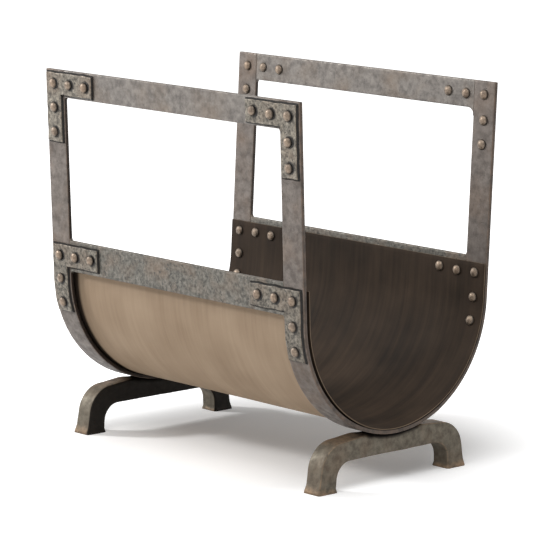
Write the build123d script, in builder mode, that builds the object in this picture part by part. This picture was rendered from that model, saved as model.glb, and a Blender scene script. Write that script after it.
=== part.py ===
from build123d import *
from math import cos, degrees, isclose, radians, sin, sqrt, tan
import os

# A free-standing holder for split firewood, made from flat bar, sheet and forged feet.
# X runs along the rails, Y runs across from front to rear, and Z is up.
# The origin lies on the floor under the middle of the holder. Lengths are in millimetres.

# Overall sizes
overall_length = 460.0
overall_height = 468.0

# The two hoops: flat bar bent to a U whose sides lean outward
hoop_radius = 153.0
hoop_base_height = 59.0
side_splay = radians(2.5)
bar_width = 34.0
bar_thickness = 5.0
bar_edge_bevel = 0.7

# Rails between the hoops
top_rail_width = 34.0
mid_rail_width = 39.0
mid_rail_rise = 48.7
corner_weld_size = 3.0
large_weld_size = 10.0
weld_throat_share = 0.5

# Rolled sheet that lies inside the hoops
sheet_thickness = 1.5
sheet_gap_front = 4.0
sheet_gap_rear = 0.3
sheet_gap_bottom = 1.5
sheet_top_drop = 7.0
sheet_end_setback = 0.5

# L-shaped corner plates
plate_thickness = 3.0
plate_leg_width = 27.0
plate_end_margin = 12.5
plate_corner_clip = 1.4

# Rivets
rivet_pitch = 30.0
rivet_shank_radius = 3.0
rivet_hole_clearance = 0.2
rivet_head_radius = 6.0
rivet_head_height = 4.2
rivet_head_facets = 8
rivet_shank_facets = 6
# Bevels of a head, from the rim inward: how far each reaches across the top and down the side
rivet_head_bevels = ((1.6, 2.6), (1.2, 1.2))
rivets_per_leg = 3

# Arched feet
foot_width = 25.0
foot_half_span = 124.0
foot_crest_rise = 3.5
foot_shoulder_drop = 6.0
foot_crest_half_width = 46.0
foot_saddle_thickness = 23.6
foot_leg_thickness = 28.0
foot_outer_lean = radians(9.0)
foot_inner_lean = radians(3.0)
foot_outer_radius = 36.0
foot_inner_radius = 22.0
foot_crest_radius = 60.0
foot_edge_bevel = 1.7
foot_seat_clearance = 0.2
sole_height = 13.0
sole_flare = 1.8
sole_undercut = 1.0
sole_chamfer = 1.0
sole_corner_clip = 2.5

# Countersunk screws that hold the hoops to the feet
screw_radius = 4.0
screw_head_radius = 8.0
screw_clearance = 0.3
screw_thread_clearance = 0.1
screw_hole_spare_depth = 1.0
screw_length = 22.0
screw_head_angle = 90.0
screw_socket_across = 5.0
screw_socket_depth = 2.6

# How closely a length or a height has to match when edges and corners are picked by it
match_tolerance = 1e-4

# Names of the sides, ends and levels, with the direction in which each one lies
sides = {"front": -1, "rear": 1}
ends = {"left": -1, "right": 1}
rail_names = {"top": "top_rail", "lower": "mid_rail"}

# Sizes worked out from those above
hoop_x = overall_length / 2 - bar_width / 2
rail_half_length = overall_length / 2 - bar_width
hoop_inner_radius = hoop_radius - bar_thickness
hoop_centre_height = hoop_base_height + hoop_radius
tangent_height = hoop_centre_height - hoop_radius * sin(side_splay)
mid_rail_top = tangent_height + mid_rail_rise * cos(side_splay)
bar_end_height = overall_height - bar_thickness * sin(side_splay)
plate_leg_length = plate_leg_width / 2 + (rivets_per_leg - 1) * rivet_pitch + plate_end_margin
rivet_hole_radius = rivet_shank_radius + rivet_hole_clearance
foot_crest_height = hoop_base_height + foot_crest_rise
foot_shoulder_height = foot_crest_height - foot_shoulder_drop
foot_underside_height = hoop_base_height - foot_seat_clearance - foot_saddle_thickness
screw_hole_depth = screw_length - bar_thickness - foot_seat_clearance + screw_hole_spare_depth

# The sheet is rolled a little tighter than the hoops and lies against their rear sides.
# Its radius and centre follow from the gaps left at the front, at the rear and at the bottom.
sheet_mean_gap = (sheet_gap_front + sheet_gap_rear) / 2
sheet_drop = (sheet_mean_gap - sheet_gap_bottom) / (1 - sin(side_splay))
sheet_radius = hoop_inner_radius - sheet_gap_bottom - sheet_drop
sheet_shift = (sheet_gap_front - sheet_gap_rear) / (2 * cos(side_splay))
sheet_centre = (sheet_shift, hoop_centre_height - sheet_drop)
sheet_tangent_height = sheet_centre[1] - sheet_radius * sin(side_splay)
sheet_rise = (mid_rail_top - sheet_top_drop - sheet_tangent_height) / cos(side_splay)
drill_depth = plate_thickness + bar_thickness + sheet_gap_front + 2 * sheet_thickness
rail_tops = {"top": (bar_end_height - tangent_height) / cos(side_splay), "lower": mid_rail_rise}
rail_widths = {"top": top_rail_width, "lower": mid_rail_width}
corner_rises = {"top": rail_tops["top"] - bar_width / 2, "lower": rail_tops["lower"] - mid_rail_width / 2}


def bar_plane(side, x=0.0, rise=0.0):
    """Plane on the bars' outer face: local x along the rails, local y up the slope, z outward.

    A rise below zero follows the bend of the hoop.
    """
    turn = side_splay + max(-rise, 0.0) / hoop_radius
    outward = Vector(0, side * cos(turn), -sin(turn))
    uphill = Vector(0, side * sin(side_splay), cos(side_splay))
    origin = Vector(x, 0, hoop_centre_height) + outward * hoop_radius + uphill * max(rise, 0.0)
    return Plane(origin=origin, x_dir=(-side, 0, 0), z_dir=outward)


def wall_point(side, centre, radius, rise):
    """Point of a U-shaped section: on the sloping wall of a side, a rise above the end of the bend."""
    y = side * (radius * cos(side_splay) + rise * sin(side_splay))
    z = rise * cos(side_splay) - radius * sin(side_splay)
    return centre[0] + y, centre[1] + z


def draw_u(centre, radius, thickness, rise):
    """Draws the closed outline of a U-shaped section of a given outer radius and thickness."""
    lean = degrees(side_splay)
    for face_radius in (radius, radius - thickness):
        CenterArc(centre, face_radius, 180 + lean, 180 - 2 * lean)
        for side in sides.values():
            Line(wall_point(side, centre, face_radius, 0), wall_point(side, centre, face_radius, rise))
    for side in sides.values():
        Line(wall_point(side, centre, radius, rise), wall_point(side, centre, radius - thickness, rise))


def draw_strap(side, thickness, low, high):
    """Draws the section of a strap on the hoop's outer face, which bends with it below the walls."""
    centre = (0, hoop_centre_height)
    start = 180 + degrees(side_splay) if side < 0 else -degrees(side_splay)
    turn = degrees(max(-low, 0) / hoop_radius)
    foot_ends = []
    for radius in (hoop_radius, hoop_radius + thickness):
        wall = Line(wall_point(side, centre, radius, high), wall_point(side, centre, radius, max(low, 0)))
        foot_ends.append(wall @ 1)
        if turn:
            bend = CenterArc(centre, radius, start, -side * turn)
            foot_ends[-1] = bend @ 1
    Line(*foot_ends)
    Line(wall_point(side, centre, hoop_radius, high), wall_point(side, centre, hoop_radius + thickness, high))


def rivet_points(end, level):
    """Position along X and rise of the rivets of a corner: along the rail, then down the bar."""
    rise = corner_rises[level]
    rail_row = [(end * (hoop_x - i * rivet_pitch), rise) for i in range(rivets_per_leg)]
    bar_row = [(end * hoop_x, rise - i * rivet_pitch) for i in range(1, rivets_per_leg)]
    return rail_row + bar_row


def rivet_planes(side, end, levels):
    """Planes on the bars' outer face at the rivets of a corner."""
    return [bar_plane(side, x, rise) for level in levels for x, rise in rivet_points(end, level)]


def inner_seat_depth(side, rise, level):
    """Depth below the bars' outer face at which a rivet's inner head sits."""
    if level == "top":
        return bar_thickness
    turn = side_splay + max(-rise, 0.0) / hoop_radius
    along = side * sheet_shift * cos(turn) + sheet_drop * sin(turn)
    across = abs(side * sheet_shift * sin(turn) - sheet_drop * cos(turn))
    face_radius = sheet_radius - sheet_thickness
    if rise < 0:
        face_radius = sqrt(face_radius**2 - (rivet_head_radius + across) ** 2)
    return hoop_radius - along - face_radius


def make_hoop(end):
    """Flat bar bent to a U, drilled for the rivets and for the screw into the foot."""
    with BuildPart() as hoop:
        with BuildSketch(Plane.YZ.offset(end * hoop_x - bar_width / 2)):
            with BuildLine():
                draw_u((0, hoop_centre_height), hoop_radius, bar_thickness, rail_tops["top"])
            make_face()
        extrude(amount=bar_width)
        end_face = hoop.faces().sort_by(Axis.X)[-1 if end > 0 else 0]
        chamfer(end_face.edges(), bar_edge_bevel)
        for side in sides.values():
            on_bar = [plane for plane in rivet_planes(side, end, corner_rises)
                      if isclose(abs(plane.origin.X), hoop_x)]
            with BuildSketch(*on_bar):
                RegularPolygon(rivet_hole_radius, rivet_shank_facets)
            extrude(amount=drill_depth, both=True, mode=Mode.SUBTRACT)
        with Locations((end * hoop_x, 0, hoop_base_height + bar_thickness)):
            CounterSinkHole(
                radius=screw_radius + screw_clearance,
                counter_sink_radius=screw_head_radius + screw_clearance,
                depth=drill_depth,
                counter_sink_angle=screw_head_angle,
            )
    return hoop


def make_rail(side, level):
    """Flat bar between the hoops, with the dressed welds left in its inner corners."""
    high = rail_tops[level]
    low = high - rail_widths[level]
    weld_rows = [(low, -1)] if level == "top" else [(low, -1), (high, 1)]
    with BuildPart() as rail:
        with BuildSketch(bar_plane(side)):
            with Locations((0, (low + high) / 2)):
                Rectangle(2 * rail_half_length, high - low)
            for end in ends.values():
                large = level == "top" and side > 0 and end > 0
                size = large_weld_size if large else corner_weld_size
                x = -side * end * rail_half_length
                inward = side * end
                throat = size * weld_throat_share / sqrt(2)
                for edge, away in weld_rows:
                    bar_end = (x, edge + away * size)
                    rail_end = (x + inward * size, edge)
                    with BuildLine():
                        ThreePointArc(bar_end, (x + inward * throat, edge + away * throat), rail_end)
                        Polyline(rail_end, (x, edge), bar_end)
                    make_face()
        extrude(amount=-bar_thickness)
        for end in ends.values():
            on_rail = [plane for plane in rivet_planes(side, end, [level])
                       if abs(plane.origin.X) < rail_half_length]
            with BuildSketch(*on_rail):
                RegularPolygon(rivet_hole_radius, rivet_shank_facets)
            extrude(amount=drill_depth, both=True, mode=Mode.SUBTRACT)
    return rail


def make_sheet():
    """Thin sheet rolled to a U that lines the hoops, with holes for the lower rivets."""
    half_length = overall_length / 2 - sheet_end_setback
    with BuildPart() as sheet:
        with BuildSketch(Plane.YZ.offset(-half_length)):
            with BuildLine():
                draw_u(sheet_centre, sheet_radius, sheet_thickness, sheet_rise)
            make_face()
        extrude(amount=2 * half_length)
        for side in sides.values():
            for end in ends.values():
                with BuildSketch(*rivet_planes(side, end, ["lower"])):
                    RegularPolygon(rivet_hole_radius, rivet_shank_facets)
                extrude(amount=drill_depth, both=True, mode=Mode.SUBTRACT)
    return sheet


def make_plate(side, end, level):
    """L-shaped plate over a corner: one leg along the rail, one down the hoop and round its bend."""
    corner = corner_rises[level]
    low = corner - (rivets_per_leg - 1) * rivet_pitch - plate_end_margin
    leg_centre = hoop_x + plate_leg_width / 2 - plate_leg_length / 2
    with BuildPart() as plate:
        with BuildSketch(Plane.YZ.offset(end * hoop_x - plate_leg_width / 2)):
            with BuildLine():
                draw_strap(side, plate_thickness, low, corner + plate_leg_width / 2)
            make_face()
        extrude(amount=plate_leg_width)
        with BuildSketch(bar_plane(side)):
            with Locations((-side * end * leg_centre, corner)):
                Rectangle(plate_leg_length, plate_leg_width)
        extrude(amount=plate_thickness)
        corners = plate.edges().filter_by(lambda edge: isclose(edge.length, plate_thickness, rel_tol=match_tolerance))
        chamfer(corners, plate_corner_clip)
        with BuildSketch(*rivet_planes(side, end, [level])):
            RegularPolygon(rivet_hole_radius, rivet_shank_facets)
        extrude(amount=drill_depth, both=True, mode=Mode.SUBTRACT)
    return plate


def make_rivets(side, end, level):
    """The rivets of one plate: hammered, faceted heads on both ends of each shank."""
    with BuildPart() as rivets:
        for x, rise in rivet_points(end, level):
            face = bar_plane(side, x, rise)
            depth = inner_seat_depth(side, rise, level)
            inner_seat = face.offset(-depth)
            with BuildSketch(inner_seat):
                RegularPolygon(rivet_shank_radius, rivet_shank_facets)
            extrude(amount=depth + plate_thickness)
            inward = Plane(origin=inner_seat.origin, x_dir=face.x_dir, z_dir=-face.z_dir)
            for seat in (face.offset(plate_thickness), inward):
                with BuildSketch(seat):
                    RegularPolygon(rivet_head_radius, rivet_head_facets)
                extrude(amount=rivet_head_height)
                for across, down in rivet_head_bevels:
                    crown = rivets.faces().sort_by_distance(seat.offset(rivet_head_height).origin)[0]
                    chamfer(crown.edges(), length=across, length2=down, reference=crown)
    return rivets


def make_foot(end):
    """Arched bar with a saddle for the hoop on top and a flared sole under each leg."""
    leg_outer = foot_half_span - sole_flare
    leg_inner = leg_outer - foot_leg_thickness
    half_outline = [
        (leg_inner - foot_underside_height * tan(foot_inner_lean), foot_underside_height),
        (leg_inner, 0),
        (leg_outer, 0),
        (leg_outer - foot_shoulder_height * tan(foot_outer_lean), foot_shoulder_height),
        (foot_crest_half_width, foot_crest_height),
    ]
    mirrored = [(-y, z) for y, z in reversed(half_outline)]
    saddle_radius = hoop_radius + foot_seat_clearance
    with BuildPart() as foot:
        with BuildSketch(Plane.YZ.offset(end * hoop_x - foot_width / 2)) as profile:
            with BuildLine():
                Polyline(*half_outline, *mirrored, close=True)
            make_face()
            fillet(vertices_at(profile, foot_shoulder_height), foot_outer_radius)
            fillet(vertices_at(profile, foot_underside_height), foot_inner_radius)
            with Locations((0, hoop_centre_height)):
                Circle(saddle_radius, mode=Mode.SUBTRACT)
            fillet(vertices_at(profile, foot_crest_height), foot_crest_radius)
        extrude(amount=foot_width)
        for side_face in (foot.faces().sort_by(Axis.X)[0], foot.faces().sort_by(Axis.X)[-1]):
            rim = side_face.edges().filter_by(lambda edge: max(v.Z for v in edge.vertices()) > sole_height)
            chamfer(rim, foot_edge_bevel)
        for side in sides.values():
            for height, margin in ((0, sole_flare), (sole_height, -sole_undercut)):
                outer = leg_outer - height * tan(foot_outer_lean) + margin
                inner = leg_inner - height * tan(foot_inner_lean) - margin
                with BuildSketch(Plane.XY.offset(height)):
                    with Locations((end * hoop_x, side * (outer + inner) / 2)):
                        sole = Rectangle(foot_width + 2 * margin, outer - inner)
                    chamfer(sole.vertices(), sole_corner_clip)
            loft(ruled=True)
        chamfer(foot.edges().group_by(Axis.Z)[0], sole_chamfer)
        with Locations((end * hoop_x, 0, hoop_base_height - foot_seat_clearance)):
            Hole(screw_radius + screw_thread_clearance, depth=screw_hole_depth)
    return foot


def vertices_at(profile, height):
    """The corners of a foot's outline at a height above the floor."""
    return profile.vertices().filter_by(lambda corner: isclose(corner.Y, height, abs_tol=match_tolerance))


def make_screw(end):
    """Countersunk screw with a hexagonal socket, its head flush with the inner face of the hoop."""
    head_height = hoop_base_height + bar_thickness
    head_depth = (screw_head_radius - screw_radius) / tan(radians(screw_head_angle / 2))
    tip_height = head_height - screw_length
    axis = Plane(origin=(end * hoop_x, 0, 0), x_dir=(1, 0, 0), z_dir=(0, -1, 0))
    with BuildPart() as screw:
        with BuildSketch(axis):
            with BuildLine():
                Polyline(
                    (0, tip_height),
                    (screw_radius, tip_height),
                    (screw_radius, head_height - head_depth),
                    (screw_head_radius, head_height),
                    (0, head_height),
                    close=True,
                )
            make_face()
        revolve(axis=Axis((end * hoop_x, 0, 0), (0, 0, 1)))
        with BuildSketch(Plane.XY.offset(head_height)):
            with Locations((end * hoop_x, 0)):
                RegularPolygon(screw_socket_across / 2, 6, major_radius=False)
        extrude(amount=-screw_socket_depth, mode=Mode.SUBTRACT)
    return screw


def save(piece, name):
    """Labels a finished piece and writes it to its own file."""
    piece.part.label = name
    export_step(piece.part, f"parts/{name}.step")


os.makedirs("parts", exist_ok=True)
save(make_sheet(), "cradle_sheet")
for end_name, end in ends.items():
    save(make_hoop(end), f"{end_name}_hoop")
    save(make_foot(end), f"{end_name}_foot")
    save(make_screw(end), f"{end_name}_foot_screw")
for side_name, side in sides.items():
    for level, rail_name in rail_names.items():
        save(make_rail(side, level), f"{side_name}_{rail_name}")
        for end_name, end in ends.items():
            corner_name = f"{side_name}_{end_name}_{level}"
            save(make_plate(side, end, level), f"{corner_name}_plate")
            save(make_rivets(side, end, level), f"{corner_name}_rivets")
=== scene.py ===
"""Dressed model of a riveted iron log holder.

Hammered bars, plates and rivets, a rolled sheet as the cradle, and forged feet. Sizes are in millimetres
unless a comment says otherwise.
"""

import logging
import math
import random
from dataclasses import dataclass, replace
from enum import Enum
from typing import Callable, Sequence

import bmesh
import bpy
from mathutils import Matrix, Vector, noise


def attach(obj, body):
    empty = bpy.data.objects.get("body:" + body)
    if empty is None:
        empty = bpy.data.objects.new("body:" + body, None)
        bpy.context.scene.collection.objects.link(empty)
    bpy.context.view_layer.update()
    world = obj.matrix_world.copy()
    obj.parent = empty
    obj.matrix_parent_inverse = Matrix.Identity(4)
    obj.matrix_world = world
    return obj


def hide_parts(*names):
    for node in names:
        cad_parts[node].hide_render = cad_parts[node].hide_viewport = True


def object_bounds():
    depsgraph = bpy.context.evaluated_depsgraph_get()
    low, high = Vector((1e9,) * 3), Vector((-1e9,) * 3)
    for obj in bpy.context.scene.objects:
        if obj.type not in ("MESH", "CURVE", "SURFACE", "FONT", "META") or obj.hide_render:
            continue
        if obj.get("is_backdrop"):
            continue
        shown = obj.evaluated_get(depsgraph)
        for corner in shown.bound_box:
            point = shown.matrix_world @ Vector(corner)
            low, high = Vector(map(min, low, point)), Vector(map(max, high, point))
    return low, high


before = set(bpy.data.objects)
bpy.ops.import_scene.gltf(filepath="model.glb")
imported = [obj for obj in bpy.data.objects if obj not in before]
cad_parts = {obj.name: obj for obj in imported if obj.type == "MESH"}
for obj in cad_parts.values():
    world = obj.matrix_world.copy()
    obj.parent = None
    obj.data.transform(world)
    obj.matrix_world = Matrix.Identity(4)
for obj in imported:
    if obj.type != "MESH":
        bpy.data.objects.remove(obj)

log = logging.getLogger("log_holder")

# One millimetre in Blender's metres.
MM = 0.001
# The only body: nothing on the holder moves.
BODY = "root"
WHITE = (1.0, 1.0, 1.0, 1.0)
# Steps through the noise that keep the reliefs of different seeds, faces and layers apart.
SEED_STEP = 17.3
FACE_STEP = 5.1
GRAIN_STEP = 9.0
# About the mean distance that the cell noise gives from a point to the nearest cell's middle.
CELL_MEAN = 0.5


class Side(Enum):
    """The long sides of the holder, with the direction of each along Y."""

    FRONT = -1
    REAR = 1


class End(Enum):
    """The ends of the holder, with the direction of each along X."""

    LEFT = -1
    RIGHT = 1


class Level(Enum):
    """The two heights at which a rail meets the hoops."""

    TOP = "top"
    LOWER = "lower"


class Face(Enum):
    """The faces of a bar, plate or sheet."""

    OUTER = "outer"
    WALL = "wall"
    INNER = "inner"


def linear(colour: str) -> tuple[float, float, float, float]:
    """Turns an sRGB hex colour into linear light, by the standard's own curve.

    Args:
        colour: six hex digits after a hash sign.

    Returns:
        Linear red, green and blue, with an alpha of one.
    """
    shares = [int(colour[i : i + 2], 16) / 255 for i in (1, 3, 5)]
    red, green, blue = (s / 12.92 if s <= 0.04045 else ((s + 0.055) / 1.055) ** 2.4 for s in shares)
    return red, green, blue, 1.0


def smooth_step(low: float, high: float, value: float) -> float:
    """Returns 0 below low, 1 above high and a smooth rise between them."""
    share = min(max((value - low) / (high - low), 0.0), 1.0)
    return share * share * (3 - 2 * share)


def grid_lines(start: float, stop: float, pitch: float, rim: float) -> list[float]:
    """Evenly spaced grid lines between two edges, with one more line just inside each edge.

    Args:
        start: place of the first edge.
        stop: place of the last edge.
        pitch: about how far apart the lines are.
        rim: distance from each edge to the line inside it.

    Returns:
        The places of the lines, in order.
    """
    count = max(1, round((stop - start - 2 * rim) / pitch))
    inner = [start + rim + (stop - start - 2 * rim) * i / count for i in range(count + 1)]
    return [start, *inner, stop]


@dataclass(frozen=True)
class BentWall:
    """Section of a U whose sides lean outward. A run is a length along it from its lowest point."""

    radius: float = 153.0
    centre_y: float = 0.0
    centre_z: float = 212.0
    splay: float = math.radians(2.5)

    @property
    def half_arc(self) -> float:
        """Length of the bend on each side of the lowest point."""
        return self.radius * (math.pi / 2 - self.splay)

    def run_at(self, side: Side, rise: float) -> float:
        """Returns the run at a rise above the end of the bend on a side."""
        return side.value * (self.half_arc + rise)

    def rise_at(self, height: float) -> float:
        """Returns how far up the sloping wall a height is, from the end of the bend."""
        return (height - self.centre_z + self.radius * math.sin(self.splay)) / math.cos(self.splay)

    def outward(self, run: float) -> Vector:
        """Finds the direction out of the wall.

        Args:
            run: length along the section from its lowest point.

        Returns:
            The unit vector away from the inside of the U.
        """
        limit = math.pi / 2 - self.splay
        angle = max(-limit, min(limit, run / self.radius))
        return Vector((0, math.sin(angle), -math.cos(angle)))

    def place(self, x: float, run: float, out: float) -> Vector:
        """Finds a point beside the wall.

        Args:
            x: place along the holder.
            run: length along the section from its lowest point.
            out: distance outward from the wall.

        Returns:
            The point in millimetres.
        """
        rise = max(abs(run) - self.half_arc, 0.0)
        uphill = Vector((0, math.copysign(math.sin(self.splay), run), math.cos(self.splay)))
        centre = Vector((x, self.centre_y, self.centre_z))
        return centre + self.outward(run) * (self.radius + out) + uphill * rise


@dataclass(frozen=True)
class HolderSizes:
    """Driving sizes of the holder in millimetres, the same as in the solids."""

    length: float = 460.0
    height: float = 468.0
    bar_width: float = 34.0
    bar_thickness: float = 5.0
    mid_rail_width: float = 39.0
    mid_rail_top: float = 254.0
    plate_thickness: float = 3.0
    plate_leg: float = 86.0
    plate_width: float = 27.0
    rivet_pitch: float = 30.0
    rivets_per_leg: int = 3
    head_radius: float = 6.0
    head_height: float = 4.2
    sheet_thickness: float = 1.5
    sheet_setback: float = 0.5
    sheet_top_drop: float = 7.0
    hoop: BentWall = BentWall()
    # The sheet clears the bars by 4 mm at the front, 0.3 mm at the rear and 1.5 mm at the bottom.
    sheet: BentWall = BentWall(radius=145.82, centre_y=1.852, centre_z=211.32)

    @property
    def hoop_x(self) -> float:
        """Distance of each hoop's middle from the middle of the holder."""
        return (self.length - self.bar_width) / 2

    @property
    def bar_end_rise(self) -> float:
        """Rise of the square-cut ends of the hoops, whose inner arris is the highest."""
        return self.hoop.rise_at(self.height - self.bar_thickness * math.sin(self.hoop.splay))

    def rail_top(self, level: Level) -> float:
        """Returns the rise of a rail's upper edge."""
        return self.bar_end_rise if level is Level.TOP else self.hoop.rise_at(self.mid_rail_top)

    def rail_width(self, level: Level) -> float:
        """Returns the width of a rail."""
        return self.bar_width if level is Level.TOP else self.mid_rail_width

    def corner_rise(self, level: Level) -> float:
        """Returns the rise of a corner rivet."""
        return self.rail_top(level) - self.rail_width(level) / 2

    def rivet_points(self, end: End, level: Level) -> list[tuple[float, float]]:
        """Lists the rivets of a plate.

        Args:
            end: end of the holder.
            level: height of the plate.

        Returns:
            Place along X and rise of each rivet, along the rail and then down the bar.
        """
        rise = self.corner_rise(level)
        steps = [i * self.rivet_pitch for i in range(self.rivets_per_leg)]
        rail_row = [(end.value * (self.hoop_x - step), rise) for step in steps]
        bar_row = [(end.value * self.hoop_x, rise - step) for step in steps[1:]]
        return rail_row + bar_row

    def inner_seat(self, side: Side, level: Level, rise: float) -> float:
        """Finds how deep below the bars' outer face a rivet's inner head sits.

        Args:
            side: long side of the holder.
            level: height of the plate.
            rise: rise of the rivet.

        Returns:
            The depth in millimetres.
        """
        if level is Level.TOP:
            return self.bar_thickness
        outward = self.hoop.outward(self.hoop.run_at(side, rise))
        sheet, hoop = self.sheet, self.hoop
        shift = Vector((0, sheet.centre_y - hoop.centre_y, sheet.centre_z - hoop.centre_z))
        along = shift.dot(outward)
        across = (shift - outward * along).length
        reach = sheet.radius - self.sheet_thickness
        # Below the sloping wall the head is seated on a curve, where its rim touches first.
        if rise < 0:
            reach = math.sqrt(reach**2 - (self.head_radius + across) ** 2)
        return hoop.radius - along - reach


@dataclass(frozen=True)
class Hammering:
    """Relief left by a hammer: overlapping blows over longer lumps, with fine scale between them.

    Each layer has the width of one mark and its depth, both in millimetres.
    """

    blow: float = 8.0
    blow_depth: float = 0.3
    # A blow's hollow ends in a flat at this share of the distance between blows.
    blow_reach: float = 0.9
    lump: float = 22.0
    lump_depth: float = 0.2
    grain: float = 3.0
    grain_depth: float = 0.08
    seed: float = 0.0

    def depth(self, u: float, v: float, face: float) -> float:
        """Finds the height of the relief at a point of a face.

        Args:
            u: first place on the face in millimetres.
            v: second place on the face in millimetres.
            face: number that keeps the reliefs of different faces apart.

        Returns:
            Height in millimetres, with a mean near zero.
        """
        drift = self.seed * SEED_STEP + face * FACE_STEP
        height = self.lump_depth * noise.noise(Vector((u / self.lump, v / self.lump, drift)))
        if self.blow_depth:
            spots = noise.voronoi(Vector((u / self.blow, v / self.blow, drift)))[0]
            height += self.blow_depth * (min(spots[0], self.blow_reach) - self.blow_reach / 2)
        if self.grain_depth:
            spot = Vector((u / self.grain, v / self.grain, drift + GRAIN_STEP))
            height += self.grain_depth * noise.noise(spot)
        return height


def mesh_object(
    name: str,
    points: Sequence[Vector],
    faces: Sequence[Sequence[int]],
    wear: Sequence[float],
    soot: Sequence[float],
) -> bpy.types.Object:
    """Makes a smooth-shaded mesh object from points in millimetres.

    Args:
        name: name of the piece.
        points: corners of the mesh.
        faces: indices of each face's corners.
        wear: how far each corner is rubbed bright, from 0 to 1.
        soot: how dark each corner is painted as shade and shadow, from 0 to 1.

    Returns:
        The new object, linked to the scene.
    """
    mesh = bpy.data.meshes.new(name)
    mesh.from_pydata([tuple(p * MM) for p in points], [], faces)
    for label, values in (("wear", wear), ("soot", soot)):
        mesh.attributes.new(label, "FLOAT", "POINT").data.foreach_set("value", values)
    form = bmesh.new()
    form.from_mesh(mesh)
    bmesh.ops.recalc_face_normals(form, faces=form.faces)
    for face in form.faces:
        face.smooth = True
    form.to_mesh(mesh)
    form.free()
    piece = bpy.data.objects.new(name, mesh)
    bpy.context.collection.objects.link(piece)
    return piece


@dataclass
class Slab:
    """A flat or bent piece of bar, plate or sheet, laid out on a grid of columns and rows.

    Attributes:
        name: name of the mesh object.
        columns: places of the grid's lines along the first direction, u.
        rows: places of the grid's lines along the second direction, v.
        place: puts a point of the grid and its height in space.
        inner: height of the inner face.
        outer: height of the outer face.
        rim: width of the rounded arris.
        hammering: relief of both faces.
        keep: tells whether the cell around a point belongs to the piece.
        trim: shifts a point of the grid to the piece's real outline.
        relief_share: share of the relief that a point keeps.
        blackness: painted shade at a point of a face.
        wall_rings: rows of points down the wall between the faces.
        arris_share: how far the arris is cut back, as a share of the rim.
        arris_relief: share of the relief that is left on the arris.
        base_spread: how much wider the piece is at its inner face, from the slope of a sheared edge.
        corner_pull: how far a corner is drawn in to round it, as a share of the rim.
        wall_wear: how bright the walls are rubbed.
    """

    name: str
    columns: list[float]
    rows: list[float]
    place: Callable[[float, float, float], Vector]
    inner: float
    outer: float
    rim: float
    hammering: Hammering
    keep: Callable[[float, float], bool] = lambda u, v: True
    trim: Callable[[float, float], tuple[float, float]] = lambda u, v: (u, v)
    relief_share: Callable[[float, float], float] = lambda u, v: 1.0
    blackness: Callable[[Face, float, float], float] = lambda face, u, v: 0.0
    wall_rings: int = 2
    arris_share: float = 0.29
    arris_relief: float = 0.3
    base_spread: float = 0.0
    corner_pull: float = 0.4
    wall_wear: float = 0.75

    def build(self) -> bpy.types.Object:
        """Builds the two faces, their rounded arrises and the walls between them.

        Returns:
            The finished mesh object.
        """
        middles_u = [(a + b) / 2 for a, b in zip(self.columns, self.columns[1:])]
        middles_v = [(a + b) / 2 for a, b in zip(self.rows, self.rows[1:])]
        cells = [(i, j) for i, u in enumerate(middles_u) for j, v in enumerate(middles_v) if self.keep(u, v)]
        # For each point: towards which side its cells lie along u and v, and how many there are.
        pull: dict[tuple[int, int], list[int]] = {}
        edge_uses: dict[tuple, int] = {}
        for i, j in cells:
            corners = [(i, j), (i + 1, j), (i + 1, j + 1), (i, j + 1)]
            for node in corners:
                total = pull.setdefault(node, [0, 0, 0])
                total[0] += 1 if node[0] == i else -1
                total[1] += 1 if node[1] == j else -1
                total[2] += 1
            for a, b in zip(corners, corners[1:] + corners[:1]):
                key = (a, b) if a < b else (b, a)
                edge_uses[key] = edge_uses.get(key, 0) + 1
        rim_edges = [edge for edge, uses in edge_uses.items() if uses == 1]
        rim_nodes = {node for edge in rim_edges for node in edge}

        points: list[Vector] = []
        wear: list[float] = []
        soot: list[float] = []
        levels: dict[tuple[int, int], list[int]] = {}
        last_ring = max(self.wall_rings - 1, 1)
        for node, (du, dv, count) in pull.items():
            on_rim = node in rim_nodes
            u, v = self.trim(self.columns[node[0]], self.rows[node[1]])
            share = self.relief_share(u, v) * (self.arris_relief if on_rim else 1.0)
            step_in = self.rim * self.arris_share if on_rim else 0.0
            towards = (0 if du == 0 else math.copysign(1, du), 0 if dv == 0 else math.copysign(1, dv))
            if on_rim and count == 1:
                u += towards[0] * self.rim * self.corner_pull
                v += towards[1] * self.rim * self.corner_pull
            top = self.outer - step_in + share * self.hammering.depth(u, v, 1)
            low = self.inner + step_in - share * self.hammering.depth(u, v, 2)
            inset = (u + towards[0] * step_in, v + towards[1] * step_in) if on_rim else (u, v)
            spread = self.base_spread if on_rim else 0.0
            ids = [len(points)]
            points.append(self.place(*inset, top))
            wear.append(1.0 if on_rim else 0.0)
            soot.append(self.blackness(Face.OUTER, u, v))
            if on_rim:
                for ring in range(self.wall_rings):
                    depth = self.rim + (self.outer - self.inner - 2 * self.rim) * ring / last_ring
                    slope = spread * ring / last_ring
                    ids.append(len(points))
                    wall = (u - towards[0] * slope, v - towards[1] * slope)
                    points.append(self.place(*wall, self.outer - depth))
                    wear.append(self.wall_wear)
                    soot.append(self.blackness(Face.WALL, u, v))
            ids.append(len(points))
            points.append(self.place(inset[0] - towards[0] * spread, inset[1] - towards[1] * spread, low))
            wear.append(1.0 if on_rim else 0.0)
            soot.append(self.blackness(Face.INNER, u, v))
            levels[node] = ids

        faces: list[list[int]] = []
        for i, j in cells:
            corners = [(i, j), (i + 1, j), (i + 1, j + 1), (i, j + 1)]
            faces.append([levels[node][0] for node in corners])
            faces.append([levels[node][-1] for node in reversed(corners)])
        for a, b in rim_edges:
            for (a0, a1), (b0, b1) in zip(zip(levels[a], levels[a][1:]), zip(levels[b], levels[b][1:])):
                faces.append([a0, b0, b1, a1])
        return mesh_object(self.name, points, faces, wear, soot)


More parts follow.
